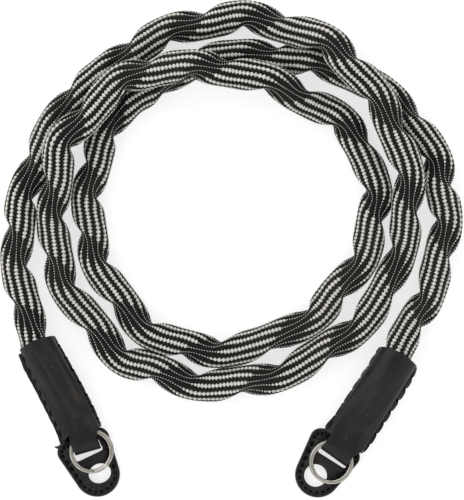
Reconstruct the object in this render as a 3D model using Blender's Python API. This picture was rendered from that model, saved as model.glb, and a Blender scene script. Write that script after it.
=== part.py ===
"""A coiled camera strap: a round braided cord laid down in two and a half turns, with a leather
sleeve at each end that folds round a split ring and through a leather protector patch."""

import math

import bmesh
import bpy
import numpy as np
from mathutils import Vector

MM = 0.001
CLEARANCE = 0.3 * MM

# Moves the whole strap, so that its box stands centred on the origin.
CENTRING = (0.24 * MM, -0.24 * MM, 0)

# The cord, and how far it runs into each sleeve.
CORD_DIAMETER = 9.5 * MM
CORD_INSERT = 10.0 * MM
CORD_LEAD = 1.0 * MM
CORD_STEPS = 2

# Leather: the wall of the sleeves, the strip that folds round the ring, and the patch.
LEATHER = 1.4 * MM
PATCH_THICKNESS = 1.7 * MM

# The split ring: two coils of flattened wire, which reaches under the strip.
RING_DIAMETER = 15.0 * MM
RING_WIRE_WIDTH = 1.25 * MM
RING_COIL_HEIGHT = 1.0 * MM
RING_COIL_GAP = 0.1 * MM
RING_STEP_START = 0.94
RING_STEP_END = 1.06
RING_END_GAP = 0.07
RING_PLAY = 0.5 * MM
RING_SHOULDER = 2.7 * MM

# A sleeve, from the mouth that takes the cord to the end that holds the ring.
SLEEVE_LENGTH = 33.2 * MM
BORE_SHIFT = -0.6 * MM
MOUTH_WALL = 1.05 * MM
MOUTH_FLAT = 1.0 * MM
END_SHOULDER = 2.9 * MM
END_CORNER = 2.4 * MM
RING_POCKET = 2.0 * MM

# The strip that leaves the sleeve, folds over and comes back below.
TAB_SETBACK = 0.7 * MM
TAB_PLAY = 0.7 * MM

# The protector patch, which leans a little towards the surface below it.
PATCH_GAP = 0.4 * MM
PATCH_LEAN = math.radians(2.5)
SHOULDER_DROP = 4.9 * MM
SHOULDER_RADIUS = 4.5 * MM
SIDE_WEB = 3.75 * MM
SLOT_BACKSET = 0.5 * MM
SLOT_OPEN = 1.3 * MM
BRIDGE = 2.9 * MM
HOLE_RADIUS = 3.8 * MM
TIP_RIM = 3.8 * MM
TIP_SETBACK = 0.6 * MM
PATCH_EDGE = 0.35 * MM

# Where each end lies: the middle of the sleeve's mouth, the heading from mouth to ring, how far
# the ring has slid out of its pocket, and the sideways place of the ring, the patch and its hole.
ENDS = {
    "left": {
        "mouth": (-64.8 * MM, -31.7 * MM),
        "heading": math.radians(-64.5),
        "ring_out": 0.8 * MM,
        "ring_shift": 0.8 * MM,
        "patch_shift": -0.9 * MM,
        "hole_shift": 0.9 * MM,
    },
    "right": {
        "mouth": (54.9 * MM, -35.7 * MM),
        "heading": math.radians(-122.3),
        "ring_out": 2.5 * MM,
        "ring_shift": 0.2 * MM,
        "patch_shift": -1.2 * MM,
        "hole_shift": -0.5 * MM,
    },
}

# The cord's route from the left sleeve to the right one, in millimetres: one row for each side
# dip of its twist, by turns on the outside and the inside of the coil. Lift is how far the cord
# is raised off the surface, where it passes over another turn.
ROUTE = [
    # x, y, lift
    (-69, -16.5, 0), (-72.5, -5.5, 0), (-70.5, 8, 0), (-70.5, 18, 0),
    (-64, 30.5, 0), (-60.5, 41.5, 0), (-51, 51.5, 0), (-43, 60, 0), (-32, 66, 0),
    (-22, 73.5, 0), (-8.5, 75, 0), (4, 78.5, 0.4), (17, 73.5, 2.6), (31, 70, 8.4),
    (38.5, 60.5, 9.8), (48, 52, 9.8), (53, 38.5, 7), (59, 26, 5), (57.5, 12.5, 2.6),
    (57, 0, 0.4), (50, -13.5, 1.5), (42.5, -26, 0.4), (30, -33, 0), (17, -42, 0),
    (2.5, -43.5, 0), (-12, -45.5, 0), (-26, -39, 0), (-37.5, -36.5, 0), (-46, -24, 0),
    (-56, -13.5, 0), (-58, -1, 0), (-60.5, 11, 0.8), (-57.5, 23.5, 5.4), (-57, 35.5, 8.8),
    (-47, 44.5, 8.6), (-38, 56, 9.2), (-26, 58.5, 10.1), (-14, 61.5, 10.1), (-2, 58.5, 9.4),
    (12, 57, 8.2), (23.5, 49.5, 1.8), (36, 44.5, 0.2), (42, 34, 0), (48.5, 20.5, 0),
    (46, 10, 0), (44, -3.5, 0), (34, -13.5, 0), (27.5, -23, 0), (11.5, -29.5, 0),
    (-3.5, -34.5, 0), (-16, -31, 0), (-29, -27.5, 0), (-37, -15.5, 0), (-45.5, -5.5, 0),
    (-46.5, 6.5, 0), (-49, 17.5, 0), (-45, 28.5, 0), (-43, 39.5, 0), (-34, 49, 0),
    (-25, 55.5, 0), (-12, 62, 0), (2.5, 65.5, 0), (15, 63.5, 0), (27, 63.5, 0),
    (40, 57.5, 0), (51, 53, 0), (59.5, 42, 0), (68, 32, 0), (69, 20.5, 0),
    (72, 10, 0), (68.5, -2, 0), (66, -15.5, 0), (59.5, -24, 0),
]

CORD_RADIUS = CORD_DIAMETER / 2
BORE_RADIUS = CORD_RADIUS + CLEARANCE
BORE_DEPTH = CORD_INSERT + CLEARANCE
BORE_HEIGHT = LEATHER + BORE_RADIUS
MOUTH_HEIGHT = 2 * BORE_HEIGHT
MOUTH_WIDTH = 2 * (BORE_RADIUS + abs(BORE_SHIFT) + MOUTH_WALL)
MOUTH_CORNER = MOUTH_WIDTH / 2 - MOUTH_FLAT
COIL_PITCH = RING_COIL_HEIGHT + RING_COIL_GAP
RING_BASE = PATCH_THICKNESS + CLEARANCE
TAB_GAP = PATCH_GAP + RING_BASE + COIL_PITCH + RING_COIL_HEIGHT + RING_PLAY
END_HEIGHT = TAB_GAP + 2 * LEATHER
TAB_WIDTH = RING_DIAMETER - 2 * RING_SHOULDER
END_WIDTH = TAB_WIDTH + 2 * END_SHOULDER
TAB_REACH = SLEEVE_LENGTH + RING_DIAMETER / 2 - TAB_SETBACK
FOLD_START = TAB_REACH - END_HEIGHT / 2
PATCH_TOP = SLEEVE_LENGTH + PATCH_GAP
PATCH_REST = LEATHER + PATCH_GAP
SLOT_START = FOLD_START + SLOT_BACKSET - PATCH_TOP
SLOT_END = TAB_REACH + SLOT_OPEN - PATCH_TOP
SLOT_WIDTH = TAB_WIDTH + 2 * TAB_PLAY
HOLE_REACH = SLOT_END + BRIDGE + HOLE_RADIUS
TIP_REACH = HOLE_REACH - TIP_SETBACK
TIP_RADIUS = HOLE_RADIUS + TIP_RIM
SHOULDER_SPAN = SLOT_WIDTH + 2 * (SIDE_WEB - SHOULDER_RADIUS)

# Sleeve sections, each as shares: how far along it lies, how far its width has gone from the
# mouth's to the end's, and how far its height and corners have.
SLEEVE_SECTIONS = [
    # along, widened, flattened
    (0.00, 0.00, 0.00),
    (0.14, 0.15, 0.01),
    (0.33, 0.38, 0.05),
    (0.50, 0.58, 0.36),
    (0.66, 0.75, 0.66),
    (0.82, 0.90, 0.90),
    (1.00, 1.00, 1.00),
]


def clear_scene():
    for thing in list(bpy.data.objects):
        bpy.data.objects.remove(thing)


def material(name, colour, roughness, metallic=0.0):
    made = bpy.data.materials.new(name)
    made.use_nodes = True
    shader = made.node_tree.nodes["Principled BSDF"]
    shader.inputs["Base Color"].default_value = (*colour, 1)
    shader.inputs["Roughness"].default_value = roughness
    shader.inputs["Metallic"].default_value = metallic
    return made


def add_object(name, data, finish, parent=None):
    made = bpy.data.objects.new(name, data)
    bpy.context.collection.objects.link(made)
    if finish:
        data.materials.append(finish)
    made.parent = parent
    return made


def mesh_object(name, shape, finish, parent=None):
    bmesh.ops.recalc_face_normals(shape, faces=shape.faces)
    mesh = bpy.data.meshes.new(name)
    shape.to_mesh(mesh)
    shape.free()
    mesh.shade_smooth()
    mesh.set_sharp_from_angle(angle=math.radians(40))
    return add_object(name, mesh, finish, parent)


def hide(cutter):
    cutter.hide_render = True
    cutter.display_type = "WIRE"


def combine(target, other, operation):
    """Cuts the other shape from the target, or joins it on."""
    hide(other)
    step = target.modifiers.new(other.name, "BOOLEAN")
    step.operation = operation
    step.object = other


def box_shape(low, high):
    shape = bmesh.new()
    bmesh.ops.create_cube(shape, size=1)
    low, high = Vector(low), Vector(high)
    bmesh.ops.scale(shape, vec=high - low, verts=shape.verts)
    bmesh.ops.translate(shape, vec=(low + high) / 2, verts=shape.verts)
    return shape


def loft(rings):
    """Joins closed rings of points one after another and caps both ends."""
    shape = bmesh.new()
    rows = [[shape.verts.new(point) for point in ring] for ring in rings]
    count = len(rows[0])
    for first, second in zip(rows, rows[1:]):
        for i in range(count):
            j = (i + 1) % count
            shape.faces.new((first[i], first[j], second[j], second[i]))
    shape.faces.new(rows[0][::-1])
    shape.faces.new(rows[-1])
    return shape


def extruded(outline, low, high, to_point):
    """A prism of an outline, whose points to_point places at both depths."""
    return loft([[to_point(a, b, depth) for a, b in outline] for depth in (low, high)])


def arc(centre, radius, start, end, steps):
    turns = [start + (end - start) * i / steps for i in range(steps + 1)]
    return [
        (centre[0] + radius * math.cos(turn), centre[1] + radius * math.sin(turn)) for turn in turns
    ]


def in_sleeve_frame(end, along, across):
    """World place of a point given along and across an end's sleeve."""
    x, y = end["mouth"]
    cos, sin = math.cos(end["heading"]), math.sin(end["heading"])
    return x + along * cos - across * sin, y + along * sin + across * cos


def cord_end(end, along):
    return (*in_sleeve_frame(end, along, BORE_SHIFT), BORE_HEIGHT)


def smooth_line(points, steps):
    """A smooth curve through the points, read at even steps between each two of them."""
    points = np.array(points)
    before = np.vstack([2 * points[0] - points[1], points[:-1]])
    after = np.vstack([points[1:], 2 * points[-1] - points[-2]])
    slopes = (after - before) / 2
    line = []
    for i in range(len(points) - 1):
        start, end, leaving, arriving = points[i], points[i + 1], slopes[i], slopes[i + 1]
        for t in np.arange(steps) / steps:
            line.append(
                (2 * t**3 - 3 * t**2 + 1) * start
                + (t**3 - 2 * t**2 + t) * leaving
                + (3 * t**2 - 2 * t**3) * end
                + (t**3 - t**2) * arriving
            )
    return line + [points[-1]]


def cord_points():
    """The cord's middle line: straight in each sleeve, and smooth through the route between."""
    left, right = ENDS["left"], ENDS["right"]
    lying = [(x * MM, y * MM, CORD_RADIUS + lift * MM) for x, y, lift in ROUTE]
    free = [cord_end(left, -CORD_LEAD)] + lying + [cord_end(right, -CORD_LEAD)]
    line = smooth_line(free, CORD_STEPS)
    return [cord_end(left, CORD_INSERT)] + line + [cord_end(right, CORD_INSERT)]


def add_cord(whole, finish):
    curve = bpy.data.curves.new("braided_cord", "CURVE")
    curve.dimensions = "3D"
    curve.bevel_depth = CORD_RADIUS
    curve.bevel_resolution = 3
    curve.use_fill_caps = True
    points = cord_points()
    spline = curve.splines.new("POLY")
    spline.points.add(len(points) - 1)
    for place, point in zip(spline.points, points):
        place.co = (*point, 1)
    return add_object("braided_cord", curve, finish, whole)


def sleeve_section(along, widened, flattened):
    """A rounded box standing on the surface, as a ring of points across the sleeve."""
    width = MOUTH_WIDTH + (END_WIDTH - MOUTH_WIDTH) * widened
    height = MOUTH_HEIGHT + (END_HEIGHT - MOUTH_HEIGHT) * flattened
    corner = MOUTH_CORNER + (END_CORNER - MOUTH_CORNER) * flattened
    side, top = width / 2 - corner, height - corner
    ring = []
    for quarter, centre in enumerate([(side, top), (-side, top), (-side, corner), (side, corner)]):
        start = quarter * math.pi / 2
        ring += arc(centre, corner, start, start + math.pi / 2, 6)
    return [(along * SLEEVE_LENGTH, across, up) for across, up in ring]


def tab_outline():
    """The strip from the side: a leather layer above, a round fold, and a layer below."""
    outer, inner = END_HEIGHT / 2, TAB_GAP / 2
    middle = (FOLD_START, END_HEIGHT / 2)
    root = SLEEVE_LENGTH - RING_POCKET / 2
    outside = arc(middle, outer, -math.pi / 2, math.pi / 2, 14)
    inside = arc(middle, inner, math.pi / 2, -math.pi / 2, 14)
    return (
        [(root, 0)]
        + outside
        + [(root, END_HEIGHT), (root, END_HEIGHT - LEATHER)]
        + inside
        + [(root, LEATHER)]
    )


def add_sleeve(side, frame, finish):
    body = loft([sleeve_section(*row) for row in SLEEVE_SECTIONS])
    sleeve = mesh_object(f"{side}_sleeve", body, finish, frame)

    bore_ring = arc((BORE_SHIFT, BORE_HEIGHT), BORE_RADIUS, 0, 2 * math.pi, 24)[:-1]
    bore = loft([[(u, v, w) for v, w in bore_ring] for u in (-CORD_INSERT, BORE_DEPTH)])
    combine(sleeve, mesh_object(f"{side}_bore_cutter", bore, None, frame), "DIFFERENCE")

    low = (SLEEVE_LENGTH - RING_POCKET, -END_WIDTH, LEATHER)
    high = (SLEEVE_LENGTH + RING_POCKET, END_WIDTH, LEATHER + TAB_GAP)
    pocket = mesh_object(f"{side}_pocket_cutter", box_shape(low, high), None, frame)
    combine(sleeve, pocket, "DIFFERENCE")

    strip = extruded(tab_outline(), -TAB_WIDTH / 2, TAB_WIDTH / 2, lambda u, w, v: (u, v, w))
    combine(sleeve, mesh_object(f"{side}_tab", strip, None, frame), "UNION")
    return sleeve


def add_ring(side, lean, slid_out, shift, finish):
    """Two flat coils of wire that step from one level to the next where they cross over."""
    middle = (RING_DIAMETER - RING_WIRE_WIDTH) / 2
    half, edge = RING_WIRE_WIDTH / 2, 0.3 * RING_COIL_HEIGHT
    section = [
        (-half, edge), (-half + edge, 0), (half - edge, 0), (half, edge),
        (half, RING_COIL_HEIGHT - edge), (half - edge, RING_COIL_HEIGHT),
        (-half + edge, RING_COIL_HEIGHT), (-half, RING_COIL_HEIGHT - edge),
    ]
    rings = []
    for turn in np.linspace(RING_END_GAP, 2 - RING_END_GAP, 75):
        share = (turn - RING_STEP_START) / (RING_STEP_END - RING_STEP_START)
        level = RING_BASE + COIL_PITCH * min(max(share, 0), 1)
        cos, sin = math.cos(2 * math.pi * turn), math.sin(2 * math.pi * turn)
        rings.append([((middle + out) * cos, (middle + out) * sin, level + up) for out, up in section])
    ring = mesh_object(f"{side}_split_ring", loft(rings), finish, lean)
    reach = SLEEVE_LENGTH - RING_POCKET + slid_out + RING_DIAMETER / 2
    ring.location = (reach - PATCH_TOP, shift, 0)
    return ring


def hull(points):
    """The outline round a set of points, anticlockwise."""
    ordered = sorted({(round(x, 7), round(y, 7)) for x, y in points})

    def chain(run):
        kept = []
        for p in run:
            while len(kept) > 1:
                (ax, ay), (bx, by) = kept[-2:]
                if (bx - ax) * (p[1] - ay) - (by - ay) * (p[0] - ax) > 0:
                    break
                kept.pop()
            kept.append(p)
        return kept[:-1]

    return chain(ordered) + chain(ordered[::-1])


def patch_outline(shift):
    """Two rounded shoulders and a round tip, with straight sides between them."""
    shoulders = [(SHOULDER_DROP, shift + turn * SHOULDER_SPAN / 2) for turn in (-1, 1)]
    dots = arc((TIP_REACH, shift), TIP_RADIUS, 0, 2 * math.pi, 40)[:-1]
    for centre in shoulders:
        dots += arc(centre, SHOULDER_RADIUS, 0, 2 * math.pi, 28)[:-1]
    # The top edge is straight between the shoulders' tops.
    return hull([(max(u, 0), v) for u, v in dots])


def add_protector(side, lean, shift, hole_shift, finish):
    def flat(u, v, depth):
        return (u, v, depth)

    body = extruded(patch_outline(shift), 0, PATCH_THICKNESS, flat)
    rims = [edge for edge in body.edges if len({round(v.co.z, 6) for v in edge.verts}) == 1]
    bmesh.ops.bevel(
        body, geom=rims, offset=PATCH_EDGE, segments=2, profile=0.5, affect="EDGES", material=-1
    )
    patch = mesh_object(f"{side}_protector", body, finish, lean)

    past = PATCH_THICKNESS
    hole_centre = (HOLE_REACH, shift + hole_shift)
    hole = extruded(
        arc(hole_centre, HOLE_RADIUS, 0, 2 * math.pi, 32)[:-1], -past, 2 * past, flat
    )
    combine(patch, mesh_object(f"{side}_hole_cutter", hole, None, lean), "DIFFERENCE")

    low = (SLOT_START, -SLOT_WIDTH / 2, -past)
    high = (SLOT_END, SLOT_WIDTH / 2, 2 * past)
    slot = mesh_object(f"{side}_slot_cutter", box_shape(low, high), None, lean)
    combine(patch, slot, "DIFFERENCE")
    return patch


def add_end(whole, side, end, leather, patch_leather, steel):
    frame = add_object(f"{side}_end", None, None, whole)
    frame.location = (*end["mouth"], 0)
    frame.rotation_euler = (0, 0, end["heading"])
    lean = add_object(f"{side}_lean", None, None, frame)
    lean.location = (PATCH_TOP, 0, PATCH_REST)
    lean.rotation_euler = (0, PATCH_LEAN, 0)
    add_sleeve(side, frame, leather)
    add_ring(side, lean, end["ring_out"], end["ring_shift"], steel)
    add_protector(side, lean, end["patch_shift"], end["hole_shift"], patch_leather)


clear_scene()
braid = material("braided yarn", (0.22, 0.21, 0.2), 0.85)
sleeve_leather = material("black leather", (0.02, 0.02, 0.02), 0.5)
patch_leather = material("black patch leather", (0.018, 0.018, 0.017), 0.58)
ring_steel = material("ring steel", (0.62, 0.59, 0.55), 0.25, 1.0)
strap = add_object("strap", None, None)
strap.location = CENTRING
add_cord(strap, braid)
for side, end in ENDS.items():
    add_end(strap, side, end, sleeve_leather, patch_leather, ring_steel)
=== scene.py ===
import math

import bmesh
import bpy
import numpy as np
from mathutils import Matrix, Vector


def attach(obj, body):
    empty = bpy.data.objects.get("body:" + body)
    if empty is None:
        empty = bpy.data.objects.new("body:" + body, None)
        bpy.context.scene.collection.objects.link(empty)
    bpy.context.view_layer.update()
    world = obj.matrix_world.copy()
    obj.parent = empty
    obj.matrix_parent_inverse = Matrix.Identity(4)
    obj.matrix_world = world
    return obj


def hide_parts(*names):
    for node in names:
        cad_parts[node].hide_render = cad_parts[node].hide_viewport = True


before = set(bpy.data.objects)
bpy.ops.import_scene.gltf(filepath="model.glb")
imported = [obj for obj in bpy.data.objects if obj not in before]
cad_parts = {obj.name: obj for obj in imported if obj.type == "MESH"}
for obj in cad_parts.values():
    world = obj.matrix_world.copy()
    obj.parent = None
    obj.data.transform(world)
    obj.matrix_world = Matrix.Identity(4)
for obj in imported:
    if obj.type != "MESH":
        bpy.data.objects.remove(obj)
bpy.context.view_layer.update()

MM = 0.001

# The strap was laid on a white table and looked at from straight above. The camera stands
# a metre up, and its picture is 154.7 by 166.7 mm at the height of the strap.
CAMERA_HEIGHT = 1.0
STRAP_LEVEL = 0.005
PICTURE_HEIGHT = 0.16667
PICTURE_MIDDLE = (0.00011, -0.00024)

camera = bpy.data.objects.new("camera", bpy.data.cameras.new("camera"))
camera.location = (*PICTURE_MIDDLE, CAMERA_HEIGHT)
camera.data.sensor_fit = "VERTICAL"
camera.data.sensor_height = 36
camera.data.lens = camera.data.sensor_height * (CAMERA_HEIGHT - STRAP_LEVEL) / PICTURE_HEIGHT
bpy.context.scene.collection.objects.link(camera)
bpy.context.scene.camera = camera
bpy.context.scene.view_settings.view_transform = "Standard"


# The cord is a soft rope of twisted strands inside a braided cover of white and black yarn.
# It runs from the left sleeve round the coil to the right one. Its twist shows as a flat side
# that winds round it, in which the white yarn nearly closes up.
CENTRING = Vector((0.24, -0.24, 0)) * MM
CORD_DIAMETER = 9.5 * MM
CORD_INSERT = 10
CORD_LEAD = 1
BORE_SHIFT = -0.6
BORE_HEIGHT = 6.45
ENDS = {
    "left": {"mouth": (-64.8, -31.7), "heading": math.radians(-64.5)},
    "right": {"mouth": (54.9, -35.7), "heading": math.radians(-122.3)},
}

# One row for each side dip of the twist, in millimetres: x, y and how far the cord is raised
# off the table where it passes over another turn.
ROUTE = [
    (-69, -16.5, 0), (-72.5, -5.5, 0), (-70.5, 8, 0), (-70.5, 18, 0),
    (-64, 30.5, 0), (-60.5, 41.5, 0), (-51, 51.5, 0), (-43, 60, 0), (-32, 66, 0),
    (-22, 73.5, 0), (-8.5, 75, 0), (4, 78.5, 0.4), (17, 73.5, 2.6), (31, 70, 8.4),
    (38.5, 60.5, 9.8), (48, 52, 9.8), (53, 38.5, 7), (59, 26, 5), (57.5, 12.5, 2.6),
    (57, 0, 0.4), (50, -13.5, 1.5), (42.5, -26, 0.4), (30, -33, 0), (17, -42, 0),
    (2.5, -43.5, 0), (-12, -45.5, 0), (-26, -39, 0), (-37.5, -36.5, 0), (-46, -24, 0),
    (-56, -13.5, 0), (-58, -1, 0), (-60.5, 11, 0.8), (-57.5, 23.5, 5.4), (-57, 35.5, 8.8),
    (-47, 44.5, 8.6), (-38, 56, 9.2), (-26, 58.5, 10.1), (-14, 61.5, 10.1), (-2, 58.5, 9.4),
    (12, 57, 8.2), (23.5, 49.5, 1.8), (36, 44.5, 0.2), (42, 34, 0), (48.5, 20.5, 0),
    (46, 10, 0), (44, -3.5, 0), (34, -13.5, 0), (27.5, -23, 0), (11.5, -29.5, 0),
    (-3.5, -34.5, 0), (-16, -31, 0), (-29, -27.5, 0), (-37, -15.5, 0), (-45.5, -5.5, 0),
    (-46.5, 6.5, 0), (-49, 17.5, 0), (-45, 28.5, 0), (-43, 39.5, 0), (-34, 49, 0),
    (-25, 55.5, 0), (-12, 62, 0), (2.5, 65.5, 0), (15, 63.5, 0), (27, 63.5, 0),
    (40, 57.5, 0), (51, 53, 0), (59.5, 42, 0), (68, 32, 0), (69, 20.5, 0),
    (72, 10, 0), (68.5, -2, 0), (66, -15.5, 0), (59.5, -24, 0),
]


def at_end(side):
    """Carries millimetres along, across and above a sleeve to where that sleeve lies."""
    end = ENDS[side]
    place = CENTRING + Vector((*end["mouth"], 0)) * MM
    return Matrix.Translation(place) @ Matrix.Rotation(end["heading"], 4, "Z") @ Matrix.Scale(MM, 4)


def in_bore(side, along):
    """A point on the cord's line inside a sleeve, this many millimetres from its mouth."""
    return np.array(at_end(side) @ Vector((along, BORE_SHIFT, BORE_HEIGHT)))


def smooth_line(points, steps):
    """A line that passes smoothly through all the points."""
    before = np.vstack([2 * points[0] - points[1], points[:-1]])
    after = np.vstack([points[1:], 2 * points[-1] - points[-2]])
    slopes = (after - before) / 2
    t = (np.arange(steps) / steps)[None, :, None]
    start, end = points[:-1, None], points[1:, None]
    leaving, arriving = slopes[:-1, None], slopes[1:, None]
    line = (
        (2 * t**3 - 3 * t**2 + 1) * start
        + (t**3 - 2 * t**2 + t) * leaving
        + (3 * t**2 - 2 * t**3) * end
        + (t**3 - t**2) * arriving
    )
    return np.vstack([line.reshape(-1, 3), points[-1:]])


def length_along(line):
    """How far along a line each of its points lies."""
    return np.concatenate([[0], np.cumsum(np.linalg.norm(np.diff(line, axis=0), axis=1))])


LINE_STEPS = 12
dips = np.array(ROUTE) * MM + np.array(CENTRING) + np.array((0, 0, CORD_DIAMETER / 2))
free_line = smooth_line(
    np.vstack([in_bore("left", -CORD_LEAD), dips, in_bore("right", -CORD_LEAD)]), LINE_STEPS
)
cord_line = np.vstack([in_bore("left", CORD_INSERT), free_line, in_bore("right", CORD_INSERT)])

# Where each point of the braid's line lies in the twist: half a turn from each dip to the next.
HALF_TURN = 13 * MM
BRAID_INSERT = (4, 2)
inside = [[in_bore(side, along) for along in BRAID_INSERT] for side in ENDS]
braid_line = np.vstack([inside[0], free_line, inside[1][::-1]])
travel = length_along(braid_line)
dip_at = travel[len(BRAID_INSERT) + LINE_STEPS * (1 + np.arange(len(dips)))]
twist = np.interp(travel, dip_at, np.arange(len(dips)))
twist += np.minimum(travel - dip_at[0], 0) / HALF_TURN
twist += np.maximum(travel - dip_at[-1], 0) / HALF_TURN


def new_material(name, roughness, metallic=0.0):
    """A material, the tree to build its pattern in, and its shader."""
    made = bpy.data.materials.new(name)
    made.use_nodes = True
    shader = made.node_tree.nodes["Principled BSDF"]
    shader.inputs["Roughness"].default_value = roughness
    shader.inputs["Metallic"].default_value = metallic
    return made, made.node_tree, shader


def node(tree, kind, inputs=None, **settings):
    """A new node, with its settings, and its inputs linked or given a value."""
    made = tree.nodes.new(kind)
    for name, value in settings.items():
        setattr(made, name, value)
    for name, value in (inputs or {}).items():
        if isinstance(value, bpy.types.NodeSocket):
            tree.links.new(value, made.inputs[name])
        else:
            made.inputs[name].default_value = value
    return made


def blended(tree, share, first, second):
    """A colour that goes from the first to the second as share goes from 0 to 1."""
    mix = node(tree, "ShaderNodeMix", data_type="RGBA")
    for socket, value in ((mix.inputs[0], share), (mix.inputs[6], first), (mix.inputs[7], second)):
        if isinstance(value, bpy.types.NodeSocket):
            tree.links.new(value, socket)
        else:
            socket.default_value = value
    return mix.outputs[2]


def spread(tree, value, low, high, to_low, to_high):
    """The value carried from one range to another, and held inside it."""
    ranged = node(
        tree,
        "ShaderNodeMapRange",
        {"Value": value, "From Min": low, "From Max": high, "To Min": to_low, "To Max": to_high},
    )
    return ranged.outputs["Result"]


def maths(tree, operation, *values):
    """The result of one operation on values that vary over the surface."""
    return node(tree, "ShaderNodeMath", dict(enumerate(values)), operation=operation).outputs[0]


def give_bumps(tree, shader, height, strength, distance):
    """Lets the height stand out of the surface."""
    bump = node(
        tree, "ShaderNodeBump", {"Height": height, "Strength": strength, "Distance": distance}
    )
    tree.links.new(bump.outputs["Normal"], shader.inputs["Normal"])


def group_with(name, takes, gives):
    """An empty shader group with these inputs and outputs."""
    tree = bpy.data.node_groups.new(name, "ShaderNodeTree")
    for label, kind in takes:
        tree.interface.new_socket(label, in_out="INPUT", socket_type=kind)
    for label, kind in gives:
        tree.interface.new_socket(label, in_out="OUTPUT", socket_type=kind)
    return tree, tree.nodes.new("NodeGroupInput").outputs, tree.nodes.new("NodeGroupOutput").inputs


def yarn_group():
    """Spun yarn: strands along each stitch with painted shade between them, uneven dye, and dust
    that has settled on it.
    """
    tree, takes, gives = group_with(
        "spun_yarn",
        [("Dye", "NodeSocketColor"), ("Dust", "NodeSocketColor"), ("Dusty", "NodeSocketFloat")],
        [("Color", "NodeSocketColor"), ("Height", "NodeSocketFloat")],
    )
    place = node(tree, "ShaderNodeTexCoord").outputs["Object"]
    lay = node(tree, "ShaderNodeAttribute", attribute_name="lay").outputs["Vector"]
    strands = node(
        tree, "ShaderNodeTexWave",
        {"Vector": lay, "Scale": 1.4, "Distortion": 1.2, "Detail": 2.0, "Detail Scale": 1.5},
        bands_direction="DIAGONAL",
    ).outputs["Fac"]
    uneven = node(tree, "ShaderNodeTexNoise", {"Vector": place, "Scale": 520.0, "Detail": 3.0})
    patches = node(tree, "ShaderNodeTexNoise", {"Vector": place, "Scale": 42.0, "Detail": 4.0})
    fibres = node(tree, "ShaderNodeTexNoise", {"Vector": place, "Scale": 6500.0, "Detail": 2.0})
    dust = spread(tree, patches.outputs["Fac"], 0.45, 0.72, 0.0, 1.0)
    dust = maths(tree, "MULTIPLY", dust, takes["Dusty"])
    # Painted shade: the yarn's colour is darker between its strands.
    between = spread(tree, strands, 0.0, 0.5, 0.72, 1.0)
    shade = spread(tree, uneven.outputs["Fac"], 0.3, 0.7, 0.86, 1.08)
    dyed = node(
        tree, "ShaderNodeHueSaturation",
        {"Color": takes["Dye"], "Value": maths(tree, "MULTIPLY", shade, between)},
    ).outputs["Color"]
    tree.links.new(blended(tree, dust, dyed, takes["Dust"]), gives["Color"])
    tree.links.new(maths(tree, "ADD", fibres.outputs["Fac"], strands), gives["Height"])
    return tree


spun_yarn = yarn_group()


def yarn(name, dye, dust, dusty, sheen):
    """A yarn of this dye, with so much dust on it."""
    made, tree, shader = new_material(name, 0.82)
    shader.inputs["Sheen Weight"].default_value = sheen
    shader.inputs["Specular IOR Level"].default_value = 0.2
    spun = node(
        tree, "ShaderNodeGroup", {"Dye": dye, "Dust": dust, "Dusty": dusty}, node_tree=spun_yarn
    )
    tree.links.new(spun.outputs["Color"], shader.inputs["Base Color"])
    give_bumps(tree, shader, spun.outputs["Height"], 0.5, 0.06 * MM)
    return made


white_yarn = yarn("white_yarn", (0.60, 0.585, 0.545, 1), (0.40, 0.37, 0.32, 1), 0.16, 0.15)
black_yarn = yarn("black_yarn", (0.0085, 0.0085, 0.008, 1), (0.04, 0.038, 0.034, 1), 0.3, 0.0)

CORE_RADIUS = 3.7 * MM


def piece(name, body, material):
    """The mesh or curve as a finished piece that goes with the strap."""
    body.materials.clear()
    body.materials.append(material)
    made = bpy.data.objects.new(name, body)
    bpy.context.scene.collection.objects.link(made)
    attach(made, "root")
    return made


def tube(name, lines, radius, material):
    """A round strand of this radius along each of the lines, all in one piece."""
    curve = bpy.data.curves.new(name, "CURVE")
    curve.dimensions = "3D"
    curve.bevel_depth = radius
    curve.bevel_resolution = 2
    curve.use_fill_caps = True
    for line in lines:
        spline = curve.splines.new("POLY")
        spline.points.add(len(line) - 1)
        spline.points.foreach_set("co", np.column_stack([line, np.ones(len(line))]).ravel())
    return piece(name, curve, material)


cord_core = tube("cord_core", [cord_line], CORE_RADIUS, black_yarn)
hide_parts("braided_cord")


def stitch_shape():
    """One stitch of the braid: a low rounded lozenge, two long and two wide, closed below."""
    shape = bmesh.new()
    bmesh.ops.create_cone(
        shape, cap_ends=True, segments=8, radius1=1.0, radius2=0.66, depth=1.4
    )
    # Every second corner is drawn in, which makes a lozenge of the round.
    for corner in shape.verts:
        if min(abs(corner.co.x), abs(corner.co.y)) > 0.1:
            corner.co.x *= 0.8
            corner.co.y *= 0.8
    top = max(shape.faces, key=lambda face: face.calc_center_median().z)
    crown = bmesh.ops.poke(shape, faces=[top])["verts"][0]
    crown.co.z += 0.3
    shape.verts.index_update()
    return shape


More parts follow.
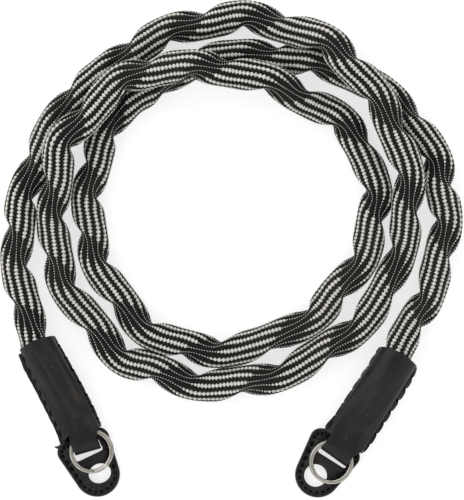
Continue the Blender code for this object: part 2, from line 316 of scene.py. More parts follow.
def laid_mesh(name, shape, centres, along, across, out, floor=None):
    """One mesh of many copies of a small shape, each stretched onto its own directions. With a
    floor given, no corner goes below it."""
    points = np.array([corner.co for corner in shape.verts])
    corners = np.concatenate([[corner.index for corner in face.verts] for face in shape.faces])
    sizes = np.array([len(face.verts) for face in shape.faces])
    count = len(centres)
    places = (
        centres[:, None]
        + points[None, :, 0:1] * along[:, None]
        + points[None, :, 1:2] * across[:, None]
        + points[None, :, 2:3] * out[:, None]
    ).reshape(-1, 3)
    if floor is not None:
        places[:, 2] = np.maximum(places[:, 2], floor)
    mesh = bpy.data.meshes.new(name)
    mesh.vertices.add(len(places))
    mesh.vertices.foreach_set("co", places.ravel())
    mesh.loops.add(count * len(corners))
    starts = np.arange(count)[:, None] * len(points)
    mesh.loops.foreach_set("vertex_index", (corners[None] + starts).ravel())
    mesh.polygons.add(count * len(sizes))
    ends = np.cumsum(np.tile(sizes, count))
    mesh.polygons.foreach_set("loop_start", np.concatenate([[0], ends[:-1]]))
    mesh.polygons.foreach_set("use_smooth", np.ones(count * len(sizes), bool))
    lay = mesh.attributes.new("lay", "FLOAT_VECTOR", "POINT")
    lay.data.foreach_set("vector", np.tile(points, (count, 1)).ravel())
    mesh.update(calc_edges=True)
    return mesh


# The braid's cover has 12 white and 12 black columns of stitches. On the round side of the twist
# the white stitches are full lozenges; in the flat side they shrink to small dashes.
COLUMNS = 12
BRAID_RADIUS = 4.6 * MM
FLAT_DEPTH, FLAT_SPREAD = 0.9 * MM, 1.6
BULGE = 0.65 * MM
GATHER, GATHER_TWICE = 0.14, 0.02
TABLE_TOP, TABLE_PRESS = 0.05 * MM, 0.15 * MM
ROUND_PITCH, FLAT_PITCH = 1.22 * MM, 0.9 * MM
STITCH_RISE = 0.25 * MM
GROUND_STEP, GROUND_DEPTH = 1.3 * MM, 0.1 * MM

# Angles round from the middle of the flat side: how far it reaches and over how much of that it
# fades out; how far the dashes reach; where the lozenges start to close up, and over how much.
FLAT_REACH, FLAT_FADE = 1.38, 0.35
DASH_REACH = 1.15
CLOSING_FROM, CLOSING_OVER = 1.95, 0.75

# How much of its room each stitch fills across and along the cord, and its share of the rise.
# Then how much less a closed lozenge fills, and how much wider the black is in the flat side.
LOZENGE = (1.28, 1.3, 1.0)
DASH = (0.4, 0.8, 0.85)
BLACK_STITCH = (1.05, 1.02, 0.86)
CLOSED_BY = (0.5, 0.35)
BLACK_SPREAD = 0.7

tangents = np.gradient(braid_line, travel, axis=0)
tangents /= np.linalg.norm(tangents, axis=1)[:, None]
lefts = np.cross((0, 0, 1), tangents)
lefts /= np.linalg.norm(lefts, axis=1)[:, None]
ups = np.cross(tangents, lefts)
flat_angle = -math.pi * twist


def from_flat(angle, at):
    """How far round from the middle of the flat side, from -pi to pi."""
    away = angle - np.interp(at, travel, flat_angle)
    return (away + math.pi) % (2 * math.pi) - math.pi


def flatness(away):
    """1 in the flat side of the twist, and 0 on its round side."""
    return np.clip((FLAT_REACH - np.abs(away)) / FLAT_FADE, 0, 1)


def at_length(values, at):
    """Values that belong to the points of the braid's line, read at these lengths of cord."""
    return np.column_stack([np.interp(at, travel, values[:, axis]) for axis in range(3)])


def on_braid(angle, at):
    """The point of the cover that a column passes at this length of cord. Columns gather a
    little on the flat side, which is pressed in, and the cover is pushed out on both sides."""
    away = from_flat(angle, at)
    turned = angle - GATHER * np.sin(away) - GATHER_TWICE * np.sin(2 * away)
    sink = FLAT_DEPTH * (0.5 + 0.5 * np.cos(np.clip(away * FLAT_SPREAD, -math.pi, math.pi)))
    sink -= BULGE * np.sin(away) ** 2
    out = at_length(lefts, at) * np.cos(turned)[:, None]
    out += at_length(ups, at) * np.sin(turned)[:, None]
    out /= np.linalg.norm(out, axis=1)[:, None]
    point = at_length(braid_line, at) + out * (BRAID_RADIUS - sink)[:, None]
    # Where it would go through the table it is pressed flat.
    above_table = (point[:, 2] - TABLE_TOP - STITCH_RISE) / TABLE_PRESS
    point[:, 2] = TABLE_TOP + STITCH_RISE + TABLE_PRESS * np.logaddexp(0, above_table)
    return point


def column_of_stitches(number, white):
    """Centres and directions of one column's stitches, in order from the left sleeve."""
    angle = 2 * math.pi * (number + (0 if white else 0.5)) / COLUMNS
    fine = np.linspace(0, travel[-1], 8 * len(travel))
    pitch = ROUND_PITCH + (FLAT_PITCH - ROUND_PITCH) * flatness(from_flat(angle, fine))
    count = np.concatenate([[0], np.cumsum(np.diff(fine) / pitch[:-1])])
    first = (number % 2) / 2 + (0.25 if white else 0.75)
    at = np.interp(np.arange(first, count[-1], 1.0), count, fine)
    pitch = np.interp(at, fine, pitch)
    away = from_flat(angle, at)
    centres = on_braid(angle, at)
    along = on_braid(angle, at + pitch / 2) - on_braid(angle, at - pitch / 2)
    side = 2 * math.pi / COLUMNS / 4
    beside = on_braid(angle + side, at) - on_braid(angle - side, at)
    room = np.linalg.norm(beside, axis=1)
    out = np.cross(beside, along)
    out /= np.linalg.norm(out, axis=1)[:, None]
    if white:
        # Going along the cord, the white closes up over a few stitches and opens at once.
        closing = np.clip((away + CLOSING_FROM) / CLOSING_OVER, 0, 1) * (away < 0)
        wide = LOZENGE[0] * (1 - CLOSED_BY[0] * closing)
        long = LOZENGE[1] - CLOSED_BY[1] * closing
        in_flat = np.abs(away) < DASH_REACH
        wide, long, rise = (
            np.where(in_flat, *shares) for shares in zip(DASH, (wide, long, LOZENGE[2]))
        )
    else:
        wide, long, rise = (np.full(len(at), share) for share in BLACK_STITCH)
        wide += BLACK_SPREAD * flatness(away)
    across = np.cross(out, along)
    across *= (room * wide / 2 / np.linalg.norm(across, axis=1))[:, None]
    return centres, along * (long / 2)[:, None], across, out * (STITCH_RISE * rise)[:, None]


def braid_stitches(name, white, material):
    """The stitches of one colour, in two pieces: the even columns and the odd ones."""
    made = []
    for half in (0, 1):
        columns = [column_of_stitches(number, white) for number in range(half, COLUMNS, 2)]
        fields = [np.vstack(field) for field in zip(*columns)]
        mesh = laid_mesh(f"{name}_{half + 1}", stitch_shape(), *fields, floor=TABLE_TOP)
        made.append(piece(f"{name}_{half + 1}", mesh, material))
    return made


def mesh_of(name, shape, place=Matrix()):
    """The shape as a smooth mesh in its place."""
    shape.transform(place)
    mesh = bpy.data.meshes.new(name)
    shape.to_mesh(mesh)
    shape.free()
    mesh.shade_smooth()
    return mesh


def braid_ground():
    """The dense inner side of the cover, which shows dark between the stitches."""
    ground = bmesh.new()
    rows = round(travel[-1] / GROUND_STEP)
    bmesh.ops.create_grid(ground, x_segments=2 * COLUMNS, y_segments=rows, size=1)
    spots = np.array([corner.co for corner in ground.verts])
    at = travel[-1] * (spots[:, 1] + 1) / 2
    points = on_braid(math.pi * (spots[:, 0] + 1), at)
    inwards = at_length(braid_line, at) - points
    points += inwards * (GROUND_DEPTH / np.linalg.norm(inwards, axis=1))[:, None]
    for corner, point in zip(ground.verts, points):
        corner.co = point
    bmesh.ops.remove_doubles(ground, verts=ground.verts, dist=0.001 * MM)
    return piece("braid_ground", mesh_of("braid_ground", ground), black_yarn)


cord_stitches = braid_stitches("white_braid", True, white_yarn)
cord_stitches += braid_stitches("black_braid", False, black_yarn)
cord_stitches.append(braid_ground())


# A sleeve is one piece of black leather. It starts as the front panel over the cord's end, leaves
# it as a narrow tab, folds round the split ring and comes back as the back panel. The two panels
# are sewn together along both long sides, and the stitches draw their edges in.
LEATHER = 1.2
SLEEVE_LENGTH = 33.2
MOUTH_RADIUS = 5.5
SLEEVE_SHIFT = -0.2
FRONT_LEVEL, BACK_LEVEL = 7.1, 0.7
FOLD_START = 36.1
PANEL_ROWS, TAB_ROWS, FOLD_ROWS = 66, 5, 12
TAB_COLUMNS, SIDE_COLUMNS, EDGE_COLUMNS = 10, 3, 3
ALL_COLUMNS = TAB_COLUMNS + SIDE_COLUMNS + EDGE_COLUMNS
CREASE_FADE = 7.0

# How far a sleeve has gone from its round mouth to its flat end: along, in width and in height.
SLEEVE_CHANGE = np.array([
    (0, 0, 0), (0.14, 0.15, 0.01), (0.33, 0.38, 0.05), (0.50, 0.58, 0.36),
    (0.66, 0.75, 0.66), (0.82, 0.90, 0.90), (1, 1, 1),
])

# For the left and the right long side of each sleeve: the front and the back panel's edges, as
# lengths and distances across; half the mouth; half the tab where it leaves the panel and at its
# fold; how many degrees round the cord the front and the back go at the mouth, and how high each
# lies at the end; the pitch of the stitches, how far they draw the edge in, and for each stitch
# half its length and the columns of its two ends.
# Then how far the shoulders and the fold are set forward across the sleeve, where the mouth's
# rim is highest, and the creases: from where to where, how deep and how wide.
SEWN = {
    "left": {
        "front": (
            [(0, 5.4), (5, 5.5), (14, 5.2), (28, 5.3), (33, 6.6)],
            [(0, 5.9), (8, 6.7), (12, 7.0), (17.5, 7.5), (23, 7.8), (27.5, 8.0), (33, 7.7)],
        ),
        "back": (
            [(0, 7.1), (5, 7.6), (12.5, 7.2), (20, 7.1), (28, 7.0), (33, 7.5)],
            [(0, 5.6), (8, 6.4), (17.5, 7.2), (27.5, 7.7), (33, 7.4)],
        ),
        "mouth": (5.5, 5.5), "root": (3.5, 6.4), "fold": (4.4, 4.2),
        "sweep": ((70, 89), (90, 67)), "seam": ((6.2, 4.8), (4.9, 3.4)),
        "pitch": (3.85, 4.6), "drawn": (0.6, 0.5),
        "stitch": ((1.45, 11.8, 13.6), (0.9, 14.7, 16.1)),
        "shoulders": (0.7, -1.6, 0.2, -0.5), "fold_set": (-1.1, 0.3), "rim_top": -0.8,
        "creases": [
            (0, -1.6, 30, 0.4, 0.5, 1.2), (2, 1.9, 28, 2.6, 0.42, 1.1),
            (20, 0.2, 35, -2.2, 0.32, 1.3), (24, 2.0, 37, 3.2, 0.25, 1.3),
            (4, -4.4, 24, -3.4, 0.2, 1.2), (24, -3.4, 33, -5.4, 0.35, 1.1),
        ],
    },
    "right": {
        "front": (
            [(0, 6.3), (2.4, 6.7), (7, 6.4), (17, 6.8), (27, 7.3), (33, 8.4)],
            [(0, 7.2), (2, 8.1), (11, 8.4), (15, 8.2), (21, 8.3), (30, 8.3), (33, 7.7)],
        ),
        "back": (
            [(0, 5.6), (7, 5.7), (17, 6.0), (27, 6.4), (33, 7.3)],
            [(0, 6.9), (2, 7.6), (11, 7.9), (21, 7.9), (33, 7.4)],
        ),
        "mouth": (5.7, 6.6), "root": (4.9, 6.3), "fold": (5.1, 5.2),
        "sweep": ((90, 67), (90, 67)), "seam": ((4.9, 3.4), (4.9, 3.4)),
        "pitch": (4.9, 4.5), "drawn": (1.0, 0.9),
        "stitch": ((0.75, 14.3, 16.0), (0.75, 14.3, 16.0)),
        "shoulders": (0.8, 0.1, 0.2, -0.6), "fold_set": (-0.4, 0.2), "rim_top": 1.0,
        "creases": [
            (3, 4.2, 28, 2.8, 0.26, 1.4), (20, 1.2, 36, 3.6, 0.3, 1.4),
            (19, -0.4, 35, -2.8, 0.3, 1.4), (3, -3.2, 24, -2.8, 0.2, 1.3),
        ],
    },
}
FIRST_STITCH, LAST_STITCH = 3.0, 31.2
BACK_SHOULDERS, SHOULDERS_FROM = 0.3, 18

# How the front's rim bulges at the mouth: how far, how it rounds off, and where its corners start.
MOUTH_BULGE, MOUTH_FADE = 1.9, 8
RIM_ROUND, CORNER_ROUND, CORNER_FROM = 0.03, 0.3, 5.2

# For the front and the back: how far the sewn edge hangs down at the mouth, and what share of
# its draw a stitch has there. Then how wide the edge lies flat at the end, how far a stitch pulls
# it down as it draws it in, and how high and how many widths away the ridge by a crease stands.
EDGE_DROP, DRAWN_SHARE = (1.05, 0.2), (1, 0.15)
EDGE_FLAT, DRAWN_DOWN = 0.9, 0.7
RIDGE_SHARE, RIDGE_AWAY = 0.5, 1.6


def from_stitch(sewn, hand, along):
    """1 where a stitch of that long side draws the edge in, and 0 between two stitches."""
    pitch = sewn["pitch"][hand]
    return (0.5 + 0.5 * math.cos(2 * math.pi * (along - FIRST_STITCH) / pitch)) ** 4


def panel_point(sewn, along, column, front):
    """The middle of the leather at this length and column, counted from the sleeve's middle."""
    hand = int(column > 0)
    sign = 1 if hand else -1
    from_middle = abs(column)
    in_edge = max(from_middle - TAB_COLUMNS - SIDE_COLUMNS, 0) / EDGE_COLUMNS
    round_share = min(from_middle / (TAB_COLUMNS + SIDE_COLUMNS), 1)
    up = 1 if front else -1

    # Round the cord at the mouth. The two panels' edges lie on each other at its side.
    panel = 0 if front else 1
    sweep = math.radians(sewn["sweep"][hand][panel]) * round_share
    mouth_out = sewn["mouth"][hand] * math.sin(sweep)
    mouth_level = BORE_HEIGHT + up * MOUTH_RADIUS * math.cos(sweep)
    mouth_level -= EDGE_DROP[panel] * in_edge

    # Flat at the end, with the sides drawn together outside the tab.
    edge_line = np.array(sewn["front" if front else "back"][hand])
    level, seam_level = (FRONT_LEVEL, BACK_LEVEL)[panel], sewn["seam"][hand][panel]
    bend = math.pi / 2 * min(max(from_middle - TAB_COLUMNS, 0) / SIDE_COLUMNS, 1)
    root = sewn["root"][hand]
    shelf = min(sewn[name][hand][-1][1] for name in ("front", "back")) - EDGE_FLAT
    end_out = root * min(from_middle / TAB_COLUMNS, 1) + (shelf - root) * math.sin(bend)
    end_level = seam_level + (level - seam_level) * math.cos(bend)

    share = min(along / SLEEVE_LENGTH, 1)
    widened = np.interp(share, SLEEVE_CHANGE[:, 0], SLEEVE_CHANGE[:, 1])
    flattened = np.interp(share, SLEEVE_CHANGE[:, 0], SLEEVE_CHANGE[:, 2])
    across = SLEEVE_SHIFT * (1 - widened) + sign * (mouth_out + (end_out - mouth_out) * widened)
    height = mouth_level + (end_level - mouth_level) * flattened
    if along < SLEEVE_LENGTH:
        drawn = sewn["drawn"][hand] * from_stitch(sewn, hand, along) * DRAWN_SHARE[panel]
        edge = sign * (np.interp(along, edge_line[:, 0], edge_line[:, 1]) - drawn)
        height -= up * DRAWN_DOWN * drawn * in_edge
    else:
        edge = sign * edge_line[-1, 1]
    across += (edge - across) * in_edge
    if along > SLEEVE_LENGTH:
        narrowed = min((along - SLEEVE_LENGTH) / (FOLD_START - SLEEVE_LENGTH), 1)
        half = root + (sewn["fold"][hand] - root) * narrowed
        across = sign * half * min(from_middle / TAB_COLUMNS, 1)
    if front:
        height -= crease_depth(sewn, along, across)
    return Vector((along, across, height))


def crease_depth(sewn, along, across):
    """How deep the creases are here. Beside each one a ridge stands up, which is below zero."""
    depth = 0
    for start, first, end, last, deep, wide in sewn["creases"]:
        share = (along - start) / (end - start)
        away = across - (first + (last - first) * share)
        fade = min(max(min(along - start, end - along) / CREASE_FADE, 0), 1)
        fade *= fade * (3 - 2 * fade)
        depth += deep * fade * math.exp(-((away / wide) ** 2))
        depth -= RIDGE_SHARE * deep * fade * math.exp(-((away / wide - RIDGE_AWAY) ** 2))
    return depth


def strip_point(sewn, row, column):
    """The middle of the leather in each row, from the front mouth round the fold to the back."""
    rows_to_fold = PANEL_ROWS + TAB_ROWS
    front = row < rows_to_fold + FOLD_ROWS / 2
    half_row = row if front else 2 * rows_to_fold + FOLD_ROWS - row
    if half_row <= PANEL_ROWS:
        along = SLEEVE_LENGTH * half_row / PANEL_ROWS
    else:
        on_tab = min(half_row - PANEL_ROWS, TAB_ROWS) / TAB_ROWS
        along = SLEEVE_LENGTH + (FOLD_START - SLEEVE_LENGTH) * on_tab
    point = panel_point(sewn, along, column, front)
    if half_row > rows_to_fold:
        turn = math.pi / 2 * (half_row - rows_to_fold) / (FOLD_ROWS / 2)
        radius = (FRONT_LEVEL - BACK_LEVEL) / 2
        point.x += radius * math.sin(turn)
        point.z = BACK_LEVEL + radius * (1 + (1 if front else -1) * math.cos(turn))
    marks = (-ALL_COLUMNS, -TAB_COLUMNS, TAB_COLUMNS, ALL_COLUMNS)
    shoulders = np.interp(column, marks, sewn["shoulders"]) if front else BACK_SHOULDERS
    fold_set = np.interp(column, marks[1:3], sewn["fold_set"])
    to_shoulders = (along - SHOULDERS_FROM) / (SLEEVE_LENGTH - SHOULDERS_FROM)
    to_shoulders = min(max(to_shoulders, 0), 1) ** 2
    to_fold = min(max((along - SLEEVE_LENGTH) / (FOLD_START - SLEEVE_LENGTH), 0), 1)
    point.x += to_shoulders * (shoulders + (fold_set - shoulders) * to_fold)
    if front:
        bulge = MOUTH_BULGE - RIM_ROUND * (point.y - sewn["rim_top"]) ** 2
        past_corner = max(abs(point.y - sewn["rim_top"] / 2) - CORNER_FROM, 0)
        bulge -= CORNER_ROUND * past_corner**2
        point.x -= bulge * max(1 - along / MOUTH_FADE, 0) ** 2
    return point


def leather_group():
    """Hide: fine pores, wrinkles with painted shade, soft stains, pale dust specks, and brown where
    it wears, which on a sleeve's ridges is a painted highlight.
    """
    tree, takes, gives = group_with(
        "smooth_hide",
        [
            ("Dye", "NodeSocketColor"), ("Rubbed", "NodeSocketColor"),
            ("Rub", "NodeSocketFloat"), ("Dullness", "NodeSocketFloat"),
            ("Wrinkles", "NodeSocketFloat"),
        ],
        [
            ("Color", "NodeSocketColor"), ("Roughness", "NodeSocketFloat"),
            ("Height", "NodeSocketFloat"),
        ],
    )
    place = node(tree, "ShaderNodeTexCoord").outputs["Object"]
    wear_and_sheen = node(tree, "ShaderNodeAttribute", attribute_name="wear_and_sheen").outputs["Fac"]
    stains = node(tree, "ShaderNodeTexNoise", {"Vector": place, "Scale": 150.0, "Detail": 5.0})
    fine = node(tree, "ShaderNodeTexNoise", {"Vector": place, "Scale": 2600.0, "Detail": 4.0})
    pores = node(
        tree, "ShaderNodeTexVoronoi", {"Vector": place, "Scale": 1900.0}, feature="SMOOTH_F1"
    )
    specks = node(tree, "ShaderNodeTexVoronoi", {"Vector": place, "Scale": 330.0})
    wrinkles = node(
        tree, "ShaderNodeTexNoise",
        {"Vector": place, "Scale": 620.0, "Detail": 5.0, "Roughness": 0.62, "Distortion": 0.6},
    ).outputs["Fac"]
    # The brown mix: real wear along cut edges, and a painted highlight along the sleeves' ridges.
    rubbed_and_sheen = spread(tree, stains.outputs["Fac"], 0.3, 0.62, 0.15, 1.0)
    rubbed_and_sheen = maths(tree, "MULTIPLY", wear_and_sheen, rubbed_and_sheen)
    rubbed_and_sheen = maths(tree, "MULTIPLY", rubbed_and_sheen, takes["Rub"])
    # Painted shade and highlight: the dye is darker in the wrinkles' hollows and lighter on their
    # crests.
    painted_fold_shade = spread(tree, wrinkles, 0.35, 0.65, -0.4, 0.4)
    stained = spread(tree, stains.outputs["Fac"], 0.3, 0.7, 0.8, 1.35)
    shade = maths(tree, "MULTIPLY_ADD", painted_fold_shade, takes["Wrinkles"], stained)
    base = node(tree, "ShaderNodeHueSaturation", {"Color": takes["Dye"], "Value": shade})
    hide = blended(tree, rubbed_and_sheen, base.outputs["Color"], takes["Rubbed"])
    dusty = spread(tree, specks.outputs["Distance"], 0.035, 0.07, 0.55, 0.0)
    tree.links.new(blended(tree, dusty, hide, (0.16, 0.15, 0.14, 1)), gives["Color"])
    rough = spread(tree, stains.outputs["Fac"], 0.3, 0.7, -0.06, 0.08)
    tree.links.new(maths(tree, "ADD", rough, takes["Dullness"]), gives["Roughness"])
    height = maths(tree, "ADD", pores.outputs["Distance"], fine.outputs["Fac"])
    height = maths(tree, "MULTIPLY_ADD", wrinkles, takes["Wrinkles"], height)
    tree.links.new(height, gives["Height"])
    return tree


smooth_hide = leather_group()


def leather(name, dye, rubbed_and_sheen, rub, dullness, wrinkles, grain):
    """A leather of this dye, which turns to the brown colour where it wears and where a highlight
    is painted on.
    """
    made, tree, shader = new_material(name, 0.5)
    shader.inputs["Specular IOR Level"].default_value = 0.22
    hide = node(
        tree, "ShaderNodeGroup",
        {"Dye": dye, "Rubbed": rubbed_and_sheen, "Rub": rub, "Dullness": dullness, "Wrinkles": wrinkles},
        node_tree=smooth_hide,
    )
    tree.links.new(hide.outputs["Color"], shader.inputs["Base Color"])
    tree.links.new(hide.outputs["Roughness"], shader.inputs["Roughness"])
    give_bumps(tree, shader, hide.outputs["Height"], 0.55, grain)
    return made


sleeve_leather = leather(
    "sleeve_leather", (0.0062, 0.0062, 0.0065, 1), (0.035, 0.028, 0.021, 1), 0.75, 0.42, 0.8,
    0.06 * MM,
)


# Rubbed brown along the cut edges, so strong and so many columns in, and the same brown along the
# ridges as a painted highlight.
EDGE_RUB, EDGE_RUB_REACH, RIDGE_SHEEN = 0.3, 0.6, 5


def cut_leather(side):
    """One sleeve's leather as a sheet along its middle, cut in beside the tab."""
    sewn = SEWN[side]
    rows = 2 * (PANEL_ROWS + TAB_ROWS) + FOLD_ROWS
    sheet = bmesh.new()
    bmesh.ops.create_grid(sheet, x_segments=rows, y_segments=2 * ALL_COLUMNS, size=1)
    wear_and_sheen = sheet.verts.layers.float.new("wear_and_sheen")
    beside_tab = []
    for corner in sheet.verts:
        row = round((corner.co.x + 1) / 2 * rows)
        column = round(corner.co.y * ALL_COLUMNS)
        if abs(column) > TAB_COLUMNS and PANEL_ROWS < row < rows - PANEL_ROWS:
            beside_tab.append(corner)
            continue
        from_edge = min(ALL_COLUMNS - abs(column), row / 2, (rows - row) / 2)
        if PANEL_ROWS - SIDE_COLUMNS < row < rows - PANEL_ROWS + SIDE_COLUMNS:
            from_edge = min(from_edge, TAB_COLUMNS - abs(column))
        corner.co = strip_point(sewn, row, column)
        # The ridges beside the creases get the brown as a painted highlight, not as wear.
        ridge = max(-crease_depth(sewn, corner.co.x, corner.co.y), 0) * (row < rows / 2)
        rub = EDGE_RUB * math.exp(-max(from_edge, 0) / EDGE_RUB_REACH) + RIDGE_SHEEN * ridge
        corner[wear_and_sheen] = min(rub, 1)
    bmesh.ops.delete(sheet, geom=beside_tab, context="VERTS")
    return sheet


def add_modifier(piece_made, kind, **settings):
    """A modifier on a finished piece, with its settings."""
    modifier = piece_made.modifiers.new(kind.lower(), kind)
    for name, value in settings.items():
        setattr(modifier, name, value)


EDGE_BEVEL = 0.28 * MM
for side in ENDS:
    mesh = mesh_of(f"{side}_leather", cut_leather(side), at_end(side))
    sleeve = piece(f"{side}_leather", mesh, sleeve_leather)
    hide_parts(f"{side}_sleeve")
    add_modifier(sleeve, "SOLIDIFY", thickness=LEATHER * MM, offset=0)
    add_modifier(
        sleeve, "BEVEL", width=EDGE_BEVEL, segments=2, limit_method="ANGLE",
        angle_limit=math.radians(55),
    )
    add_modifier(sleeve, "SUBSURF", levels=1, render_levels=1)


# Black thread, hand sewn through both panels. On the front each stitch slants towards the edge;
# below, it goes straight on. A cut end has worked loose by the left sleeve's shoulder.
THREAD, THREAD_SUNK, THREAD_DIVE = 0.33, 0.05, 0.9
seam_thread, thread_tree, thread_shader = new_material("seam_thread", 0.75)
thread_shader.inputs["Specular IOR Level"].default_value = 0.05
thread_lay = node(thread_tree, "ShaderNodeAttribute", attribute_name="lay").outputs["Vector"]
thread_plies = node(
    thread_tree, "ShaderNodeTexWave", {"Vector": thread_lay, "Scale": 1.6, "Distortion": 0.5},
    bands_direction="DIAGONAL",
).outputs["Fac"]
give_bumps(thread_tree, thread_shader, thread_plies, 0.7, 0.08 * MM)
# Painted shade: the thread's colour is darker between its plies.
thread_tree.links.new(
    blended(thread_tree, thread_plies, (0.001, 0.001, 0.001, 1), (0.005, 0.005, 0.005, 1)),
    thread_shader.inputs["Base Color"],
)


def thread_shape():
    """One visible stitch: a plump thread that dives into the leather at both ends."""
    shape = bmesh.new()
    bmesh.ops.create_uvsphere(shape, u_segments=8, v_segments=7, radius=1)
    bmesh.ops.rotate(
        shape, verts=shape.verts, cent=(0, 0, 0), matrix=Matrix.Rotation(math.pi / 2, 3, "Y")
    )
    for corner in shape.verts:
        corner.co.z -= THREAD_DIVE * corner.co.x**4
    shape.verts.index_update()
    return shape


def stitch_lay(start, end, out, wide, rise):
    """Centre and directions of a thread stitch between two points, in millimetres."""
    along = (end - start) / 2
    return (start + end) / 2, along, out.cross(along).normalized() * wide, out * rise


def seam_stitches(side):
    """The stitches of both long sides, on the front and the back panel."""
    sewn = SEWN[side]
    last_row = 2 * (PANEL_ROWS + TAB_ROWS) + FOLD_ROWS
    lays = []
    for hand, sign in ((0, -1), (1, 1)):
        half_length, inner_column, outer_column = sewn["stitch"][hand]
        for along in np.arange(FIRST_STITCH, LAST_STITCH, sewn["pitch"][hand]):
            first, last = (
                PANEL_ROWS * (along + step) / SLEEVE_LENGTH for step in (-half_length, half_length)
            )
            for first_row, second_row, second_column in (
                (first, last, outer_column), (last_row - first, last_row - last, inner_column),
            ):
                start = strip_point(sewn, first_row, sign * inner_column)
                end = strip_point(sewn, second_row, sign * second_column)
                ahead = strip_point(sewn, first_row + 1, sign * inner_column) - start
                beside = strip_point(sewn, first_row, sign * (inner_column + 1)) - start
                out = ahead.cross(beside).normalized() * sign
                lift = out * (LEATHER / 2 - THREAD_SUNK)
                lays.append(stitch_lay(start + lift, end + lift, out, THREAD, THREAD))
    return lays


def threads(name, lays, place):
    """The thread stitches as one piece, carried from an end's millimetres to its place."""
    turn = np.array(place.to_3x3())
    fields = [np.array(field) @ turn.T for field in zip(*lays)]
    fields[0] += np.array(place.to_translation())
    return piece(name, laid_mesh(name, thread_shape(), *fields), seam_thread)


for side in ENDS:
    threads(f"{side}_seam", seam_stitches(side), at_end(side))

LOOSE_RADIUS = 0.28 * MM
LOOSE_ENDS = [
    [(33.2, -7.3, 2.2), (33.5, -8.2, 2.6), (33.5, -9.0, 2.8), (33.2, -9.8, 2.7)],
    [(33.7, -7.3, 2.0), (33.9, -8.1, 2.2), (33.9, -8.9, 2.5), (33.6, -9.4, 2.9)],
]
frayed, frayed_tree, frayed_shader = new_material("frayed_thread", 0.75)
frayed_place = node(frayed_tree, "ShaderNodeTexCoord").outputs["Object"]
frayed_noise = node(
    frayed_tree, "ShaderNodeTexNoise", {"Vector": frayed_place, "Scale": 2500.0, "Detail": 3.0}
)
frayed_tree.links.new(
    blended(
        frayed_tree, frayed_noise.outputs["Fac"],
        (0.012, 0.008, 0.006, 1), (0.06, 0.045, 0.03, 1),
    ),
    frayed_shader.inputs["Base Color"],
)
loose_lines = [
    smooth_line(np.array([at_end("left") @ Vector(point) for point in loose_end]), 6)
    for loose_end in LOOSE_ENDS
]
tube("loose_thread", loose_lines, LOOSE_RADIUS, frayed)


# A split ring is two coils of flattened, polished steel wire, which step from one level to the
# other where they cross. It lies in the fold of the tab, on the protector.
PATCH_TOP, PATCH_REST, PATCH_LEAN = 33.6, 1.8, math.radians(2.5)
RING_DIAMETER, WIRE_WIDTH, WIRE_HEIGHT, WIRE_ROUNDING = 15, 1.4, 1.0, 0.47
COIL_SHIFT, COIL_STEPS, CROSSING_STEPS = 0.45, 84, 12
RING_BASE, COIL_PITCH = 2.0, 1.1
RING_START, STEP_START, STEP_END = 0.07, 0.94, 1.06
RING_PLACES = {"left": (39.5, 0.8), "right": (41.2, 0.2)}


def on_lean(side):
    """Carries millimetres on the leaning protector to where that end lies."""
    lean = Matrix.Translation((PATCH_TOP, 0, PATCH_REST)) @ Matrix.Rotation(PATCH_LEAN, 4, "Y")
    return at_end(side) @ lean


def wound_ring():
    """The wire's rounded section, spun round in three runs: a coil, the step and a coil."""
    ring = bmesh.new()
    bmesh.ops.create_grid(ring, x_segments=1, y_segments=1, size=0.5)
    bmesh.ops.scale(ring, verts=ring.verts, vec=(WIRE_WIDTH, WIRE_HEIGHT, 1))
    bmesh.ops.bevel(
        ring, geom=ring.verts[:], offset=WIRE_ROUNDING, segments=5, profile=0.5, affect="VERTICES",
        material=-1,
    )
    bmesh.ops.rotate(
        ring, verts=ring.verts, cent=(0, 0, 0), matrix=Matrix.Rotation(math.pi / 2, 3, "X")
    )
    middle = (RING_DIAMETER - WIRE_WIDTH) / 2
    bmesh.ops.translate(ring, verts=ring.verts, vec=(middle, 0, RING_BASE + WIRE_HEIGHT / 2))
    bmesh.ops.rotate(
        ring, verts=ring.verts, cent=(0, 0, 0),
        matrix=Matrix.Rotation(2 * math.pi * RING_START, 3, "Z"),
    )
    last = ring.verts[:] + ring.edges[:] + ring.faces[:]
    # The upper coil has slipped a little to one side of the lower one.
    runs = [
        (STEP_START - RING_START, 0, COIL_STEPS),
        (STEP_END - STEP_START, COIL_PITCH, CROSSING_STEPS),
        (2 - RING_START - STEP_END, 0, COIL_STEPS),
    ]
    for turns, rise, steps_round in runs:
        last = bmesh.ops.spin(
            ring, geom=last, cent=(0, 0, 0), axis=(0, 0, 1),
            dvec=(0, bool(rise) * COIL_SHIFT / steps_round, rise / steps_round),
            angle=2 * math.pi * turns, steps=steps_round,
        )["geom_last"]
    bmesh.ops.recalc_face_normals(ring, faces=ring.faces)
    return ring


ring_steel, steel_tree, steel_shader = new_material("ring_steel", 0.2, 1.0)
steel_place = node(steel_tree, "ShaderNodeTexCoord").outputs["Object"]
steel_haze = node(
    steel_tree, "ShaderNodeTexNoise", {"Vector": steel_place, "Scale": 400.0, "Detail": 5.0}
)
steel_marks = node(
    steel_tree, "ShaderNodeTexNoise",
    {
        "Vector": node(
            steel_tree, "ShaderNodeMapping", {"Vector": steel_place, "Scale": (900, 900, 9000)}
        ).outputs["Vector"],
        "Scale": 1.0, "Detail": 4.0,
    },
)
steel_colour = blended(
    steel_tree, spread(steel_tree, steel_haze.outputs["Fac"], 0.35, 0.65, 0.0, 1.0),
    (0.47, 0.45, 0.41, 1), (0.35, 0.325, 0.29, 1),
)
